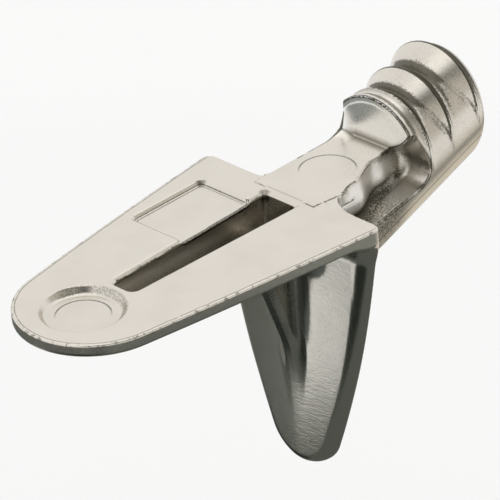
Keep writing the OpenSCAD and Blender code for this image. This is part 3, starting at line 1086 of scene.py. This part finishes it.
@dataclass(frozen=True)
class NickelPlate:
    """Nickel plating over a zinc die casting, with painted shade in its hollows, creases and cuts
    and on the leg, and a painted highlight on the plug's face and lobes.

    Attributes:
        outline: Outline of the plate, along whose rim a line of painted shade and real nicks are
            drawn.
        axis_z, tilt: Height of the plug's axis at the wall, and its tilt.
        base, deep: Colours of the plain plating and of the faint waves in it.
        dirt, shade: Colour of the painted shade and of the real seam and nicks, and of the painted
            shade on the leg.
        pale: Colour of a painted highlight on the plug's face and the lobes.
        roughness: Roughness of the clean plating.
        rings: Middle and radius of the faint round tool marks.
        corners: The recess's and the slot's back corner, darkened as painted shade, with its
            radius.
        dimple: Middle of the dimple, and the radii round its bevel, whose far side is darkened as
            painted shade.
        unshaded_spot: The spot on the thin rib that the leg's painted shade leaves bright: middle
            and half size along Y and Z.
        seam_low: How far the mould's seam lies below the plug's axis.
    """

    outline: Tongue
    axis_z: float
    tilt: float
    base: Colour = (0.775, 0.728, 0.655, 1.0)
    deep: Colour = (0.47, 0.43, 0.36, 1.0)
    # Colour of the painted shade, and of the real seam and nicks.
    shade_and_dirt: Colour = (0.10, 0.092, 0.068, 1.0)
    # Colour of the painted shade on the leg.
    shade: Colour = (0.062, 0.075, 0.064, 1.0)
    # A painted highlight, on the plug's face and the lobes.
    pale: Colour = (1.0, 1.0, 0.985, 1.0)
    roughness: float = 0.23
    rings: tuple[tuple[float, float, float], ...] = ((0.0, -11.96, 1.12), (0.0, 2.0, 1.2))
    corners: tuple[tuple[float, float, float], ...] = ((-3.62, -1.8, 0.34), (-0.95, -0.75, 0.36))
    dimple: tuple[float, Span, Span] = (-11.96, (1.48, 1.58), (1.84, 1.76))
    # The spot on the rib that the leg's painted shade leaves out.
    unshaded_spot: tuple[Span, Span] = ((-1.52, 0.38), (-4.7, 1.2))
    seam_low: float = 0.72
    shade_and_grime: ShadeAndGrime = ShadeAndGrime()

    def ring(self, s: Surface) -> Wire:
        """The faint round tool marks on the top faces, darkened on their far halves only, where
        painted shade is laid over the marks.
        """
        total: Value = 0.0
        for x, y, r in self.rings:
            half = ((s.y - y) * 0.73 - (s.x - x) * 0.69).step(-0.3, 0.5)
            total = abs(s.away(x, y) - r).step(0.055, 0.015) * half + total
        return total * s.zone(Zone.TOP) * s.specked(self.shade_and_grime.ring)

    def inset(self, s: Surface) -> Wire:
        """How far a place on the plate lies inside its rim."""
        cx, cy = self.outline.bow_centre()
        ty = self.outline.tip_r - self.outline.length
        q = abs(s.x)
        side = (q - cx).length_with(s.y - cy) - self.outline.bow_r
        tip = q.length_with(s.y - ty) - self.outline.tip_r
        pick = (q * (cy - ty) - (s.y - ty) * cx).step(-0.01, 0.01)
        return (tip + (side - tip) * pick) * -1.0

    def rim(self, s: Surface) -> Wire:
        """A line of painted shade along the plate's rounded rim, and the real nicks in its edge,
        as a mask.
        """
        here = self.inset(s)
        chips = s.noise(Grain.CHIP)
        near = here + (s.noise(Grain.WANDER) - 0.5) * 0.08
        line = abs(near - 0.15).step(0.032, 0.012) * chips.step(0.31, 0.43)
        nick = here.step(0.12, 0.07) * chips.step(0.54, 0.60)
        return (line * self.shade_and_grime.rim + nick * self.shade_and_grime.nick) * s.zone(Zone.RIM)

    def side(self, s: Surface) -> Wire:
        """How high a place lies over the plug's tilted axis."""
        return (s.z - self.axis_z - s.y * math.tan(self.tilt)) * math.cos(self.tilt)

    def lines(self, s: Surface) -> Wire:
        """Lines of painted shade along crests and round cuts, and the mould's real seam, as a
        mask.
        """
        cuts = s.shown(Onset.CUT_EDGE) + s.shown(Onset.CUT_FOOT)
        cuts = cuts * s.mark(Mark.CARVED) * s.zone(Zone.CUT_EDGES)
        crests = s.shown(Onset.CREST) * s.zone(Zone.BEHIND)
        crests = crests * (1.2 + s.zone(Zone.RIBS) * 0.4) * (1.0 - s.zone(Zone.LOBES) * 0.8)
        seam = abs(self.side(s) + self.seam_low).step(0.06, 0.02) * s.zone(Zone.SEAM)
        return (crests + cuts) * s.specked(self.shade_and_grime.line) + seam * self.shade_and_grime.seam

    def cut_shade(self, s: Surface) -> Wire:
        """Painted shade in what is cut into the plate: in the slot, on the cut walls and back
        corners, and on the far side of the dimple's bevel.
        """
        shade_and_grime, carved = self.shade_and_grime, s.mark(Mark.CARVED)
        spots: Value = 0.0
        # Painted shade in the dark back corners.
        for x, y, r in self.corners:
            spots = s.away(x, y).step(r, 0.12) + spots
        walls = s.shown(Onset.CUT_WALL) * s.zone(Zone.CUT_FOOT) * shade_and_grime.cut_wall
        walls = walls + spots * s.zone(Zone.CUT) * shade_and_grime.cut_corner
        # Painted shade on the far side of the dimple's bevel.
        y, start, end = self.dimple
        rho = s.away(0.0, y)
        dimple = rho.step(*start) * rho.step(*end) * (s.y - y).step(-0.3, 0.6) * s.speck
        # Painted shade inside the slot.
        slot = s.zone(Zone.SLOT) * s.specked(shade_and_grime.slot)
        return (slot + walls) * carved + dimple * shade_and_grime.dimple

    def leg_shade(self, s: Surface) -> Wire:
        """Where painted shade covers the leg: all of it apart from a bright spot on the thin rib.
        """
        (y, half_y), (z, half_z) = self.unshaded_spot
        away = ((s.y - y) / half_y).length_with((s.z - z) / half_z) + (s.speck - 0.5) * 0.9
        return s.zone(Zone.LEG) * (1.0 - away.step(1.4, 0.6) * s.zone(Zone.RIB_RIGHT))

    def painted_shade(self, s: Surface) -> Wire:
        """Painted shade in creases, hollows, lobes and the ribs' valleys and back slopes, on the
        leg, under the neck and in the cuts.
        """
        shade_and_grime, side = self.shade_and_grime, self.side(s)
        lobes, leg_shade = s.zone(Zone.LOBES), self.leg_shade(s)
        bare = 1.0 - s.mark(Mark.CARVED)
        ragged = (s.speck - 0.5) * 0.12
        ragged_bend = ragged * 0.4
        # Less painted shade in the creases by the pad's left and the face's foot.
        less_shaded = s.zone(Zone.PAD_LEFT) + s.zone(Zone.FACE_FOOT)
        crease = s.shown(Onset.CREASE, ragged * 0.5)
        crease = crease * (1.0 - s.zone(Zone.UNDERSIDE)) * (1.0 - less_shaded * 0.7)
        crease = crease * (1.0 - lobes * 0.8)
        hollow = s.shown(Onset.HOLLOW, ragged)
        ribs = s.shown(Onset.VALLEY, ragged_bend) * side.step(-0.9, -0.5) * shade_and_grime.valley
        ribs = ribs + s.shown(Onset.BACK) * side.step(-0.6, -0.2) * shade_and_grime.back
        leg = s.shown(Onset.BEND, ragged_bend) * bare * shade_and_grime.leg
        leg = leg + s.zone(Zone.OFF_LEG) * shade_and_grime.off_leg
        shade_and_dirt = crease * shade_and_grime.crease + hollow * (bare * shade_and_grime.hollow + lobes * shade_and_grime.lobes)
        shade_and_dirt = shade_and_dirt + ribs * s.zone(Zone.RIBS) + leg * leg_shade
        return shade_and_dirt + s.zone(Zone.NECK_LOW) * s.specked(shade_and_grime.neck) + self.cut_shade(s)

    def make(self) -> bpy.types.Material:
        """Builds the material.

        Returns:
            The material, with cast grain, faint waves, painted shade, a painted highlight on the
            plug's face and lobes, and the real seam and nicks.
        """
        s = Surface("nickel_plate")
        wave, grain, fine = s.noise(Grain.WAVE), s.noise(Grain.CAST), s.noise(Grain.FINE)
        leg, lobes, shade_and_dirt = s.zone(Zone.LEG), s.zone(Zone.LOBES), self.painted_shade(s)
        mask = shade_and_dirt + self.lines(s) + self.rim(s) + self.ring(s)
        tone = s.mix(wave.step(0.35, 0.75) * 0.12, self.base, self.deep)
        # A painted highlight lightens the plug's face and the lobes.
        tone = s.mix(s.zone(Zone.FACE) + lobes * 0.4, tone, self.pale)
        # Painted shade, and the real seam and nicks, darken the tone; on the leg it takes the
        # shade colour.
        tone = s.mix(mask, tone, s.mix(leg, self.shade_and_dirt, self.shade))
        rough = self.roughness + (grain - 0.5) * 0.10 + (wave - 0.5) * 0.06 + shade_and_dirt * 0.2
        rough = rough - leg * 0.05 + s.zone(Zone.DULL) * 0.05 + lobes * 0.1
        hair = (s.noise(Grain.HAIR) - 0.5) * 12.0 + (s.speck - 0.5) * 2.0
        height = grain * 0.6 + fine * 0.4 + hair * leg
        inputs = {"Height": height, "Strength": 0.1, "Distance": 0.004 * MM}
        normal = s.node("ShaderNodeBump", {}, inputs, "Normal")
        s.dress(Base_Color=tone, Metallic=1.0, Roughness=rough, Normal=normal)
        return s.material


# ---- studio

UP = (0.0, 0.0, 1.0)
DISC_SIDES = 60


@dataclass(frozen=True)
class Card:
    """A sheet of grey, black or white card that the bright metal mirrors.

    Attributes:
        name: Its name.
        place: Its middle, in millimetres.
        size: Its width and height.
        colour: Its colour.
        toward: The way its face looks. A card that lies down is a disc.
    """

    name: str
    place: tuple[float, float, float]
    size: Span
    colour: tuple[float, float, float]
    toward: tuple[float, float, float] = UP

    @property
    def corners(self) -> list[Vector]:
        """Its corners, in millimetres."""
        facing = Vector(self.toward).normalized()
        side = Vector((1.0, 0.0, 0.0))
        if self.toward != UP:
            side = facing.cross(Vector(UP)).normalized()
        up = side.cross(facing).normalized()
        w, h = side * self.size[0] / 2, up * self.size[1] / 2
        mid = Vector(self.place)
        if self.toward == UP:
            turns = [math.radians(360.0 / DISC_SIDES * i) for i in range(DISC_SIDES)]
            return [mid + w * math.cos(t) + h * math.sin(t) for t in turns]
        return [mid - w - h, mid + w - h, mid + w + h, mid - w + h]


CARDS = (
    Card("under", (2.0, -8.0, -28.0), (146.0, 140.0), (0.10, 0.112, 0.102)),
    Card("left_low", (-38.0, 12.0, -27.8), (32.0, 44.0), (0.19, 0.205, 0.195)),
    Card("dark_front", (8.0, -38.0, -27.8), (46.0, 30.0), (0.012, 0.016, 0.013)),
    Card("under_plug", (0.0, 36.0, -27.9), (36.0, 36.0), (0.72, 0.67, 0.58)),
    Card("right_low", (37.0, 52.0, -27.85), (26.0, 28.0), (0.86, 0.82, 0.74)),
    Card("dark_right", (37.0, -44.0, -27.85), (22.0, 22.0), (0.05, 0.056, 0.05)),
    Card("dark_nose", (-8.0, -60.0, -27.82), (60.0, 20.0), (0.05, 0.055, 0.05)),
    Card("dark_rib", (-17.0, -5.0, -27.75), (20.0, 12.0), (0.02, 0.026, 0.022)),
    Card("right_mid", (37.0, 22.0, -27.83), (20.0, 18.0), (0.21, 0.23, 0.21)),
    Card("rib_light", (29.3, 25.6, -27.7), (8.0, 8.0), (0.95, 0.95, 0.92)),
    Card("low_front", (-17.5, -23.0, -23.5), (9.0, 10.0), (0.93, 0.96, 0.97), (0.6, 0.8, 0.0)),
    Card("right_wall", (62.0, 15.0, 52.0), (150.0, 80.0), (0.6, 0.58, 0.53), (-1.0, 0.0, 0.0)),
    Card("near_side", (56.0, -66.0, 74.0), (66.0, 80.0), (0.05, 0.05, 0.044), (-0.62, 0.63, -0.6)),
    Card("right_top", (48.0, -2.0, 70.0), (60.0, 60.0), (0.22, 0.22, 0.19), (-0.75, 0.0, -1.0)),
)


@dataclass(frozen=True)
class Studio:
    """The floor, the sky, the lamp and the camera, in millimetres.

    Attributes:
        floor_half: Half the floor's width.
        sky: Strength of the sky.
        aim, distance: Where the camera looks, and how far away it is.
        turns: Its azimuth, height and roll, in degrees.
        focus: Focal length, in widths of the sensor.
        sensor: Width of the sensor.
    """

    floor_z: float = -30.0
    floor_half: float = 600.0
    floor_colour: Colour = (0.97, 0.97, 0.965, 1.0)
    sky: float = 0.93
    lamp_place: tuple[float, float, float] = (20.0, 10.0, 180.0)
    lamp_size: float = 200.0
    lamp_watts: float = 0.038
    aim: tuple[float, float, float] = (2.01, -4.62, 0.0)
    distance: float = 165.46
    turns: tuple[float, float, float] = (46.59, 30.22, -4.13)
    focus: float = 8.283
    sensor: float = 36.0

    def world(self) -> None:
        """An even, pale sky."""
        world = bpy.data.worlds.new("sky")
        world.use_nodes = True
        back = world.node_tree.nodes["Background"]
        back.inputs["Color"].default_value = (1.0, 1.0, 1.0, 1.0)
        back.inputs["Strength"].default_value = self.sky
        bpy.context.scene.world = world

    @staticmethod
    def sheet(name: str, corners: Sequence[Sequence[float]], **looks: Any) -> bpy.types.Object:
        """Makes a flat sheet of paper, with its corners in metres and its shader's inputs."""
        mesh = bpy.data.meshes.new(name)
        mesh.from_pydata(corners, [], [tuple(range(len(corners)))])
        shader = Shader(name + "_paper")
        shader.dress(**looks)
        mesh.materials.append(shader.material)
        return stand(name, mesh)

    def floor(self) -> None:
        """A plain pale floor."""
        size, z = self.floor_half * MM, self.floor_z * MM
        corners = [(-size, -size, z), (size, -size, z), (size, size, z), (-size, size, z)]
        floor = self.sheet("floor", corners, Base_Color=self.floor_colour, Roughness=0.9)
        floor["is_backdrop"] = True

    def lamp(self) -> None:
        """A soft square lamp that looks at the part."""
        data = bpy.data.lights.new("top_lamp", "AREA")
        data.shape = "SQUARE"
        data.size = self.lamp_size * MM
        data.energy = self.lamp_watts
        lamp = stand("top_lamp", data)
        lamp.location = Vector(self.lamp_place) * MM
        lamp.rotation_euler = lamp.location.to_track_quat("Z", "Y").to_euler()

    def card(self, card: Card) -> None:
        """Stands a card round the part. Only the metal's reflections show it."""
        looks = {"Base_Color": (*card.colour, 1.0), "Roughness": 1.0, "Specular_IOR_Level": 0.0}
        piece = self.sheet(card.name, [corner * MM for corner in card.corners], **looks)
        piece.visible_camera = False
        piece.visible_diffuse = False
        piece.visible_shadow = False
        piece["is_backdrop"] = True

    def camera(self) -> None:
        """A long lens from the front right, above the plate."""
        azimuth, height, roll = (math.radians(a) for a in self.turns)
        tip = Matrix.Rotation(math.radians(90.0) - height, 4, "X")
        turn = Matrix.Rotation(azimuth, 4, "Z") @ tip @ Matrix.Rotation(roll, 4, "Z")
        turn.translation = (Vector(self.aim) + turn.col[2].to_3d() * self.distance) * MM
        data = bpy.data.cameras.new("camera")
        data.sensor_width = self.sensor
        data.lens = self.sensor * self.focus
        data.clip_start = 0.001
        camera = stand("camera", data)
        camera.matrix_world = turn
        bpy.context.scene.camera = camera


def corners_of(bounds: Any) -> list[list[float]]:
    """A box as plain lists of numbers."""
    return [[float(v) for v in corner] for corner in bounds]


def main() -> None:
    """Builds the casting, dresses it and sets up the studio."""
    cad_box = corners_of(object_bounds())
    low, high = (np.array(corner) / MM for corner in cad_box)
    casting = Casting(
        plate=Plate(length=-low[Y], half_w=high[X]),
        leg=Leg(length=-low[Z]),
        neck=Neck(),
        plug=Plug(end=high[Y]),
    )
    step = CELL
    mesher = Mesher(low, high, step, shape=casting.distance, carved=casting.plate.tools)
    piece = mesher.build("casting")
    plug = casting.plug
    finish = NickelPlate(casting.plate.outline, axis_z=plug.mid_z(0.0), tilt=plug.tilt)
    piece.data.materials.append(finish.make())
    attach(piece, "root")
    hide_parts("shelf_support")

    studio = Studio()
    studio.world()
    studio.floor()
    studio.lamp()
    for card in CARDS:
        studio.card(card)
    studio.camera()
    bpy.context.scene.view_settings.view_transform = "Standard"


if __name__ == "__main__":
    main()
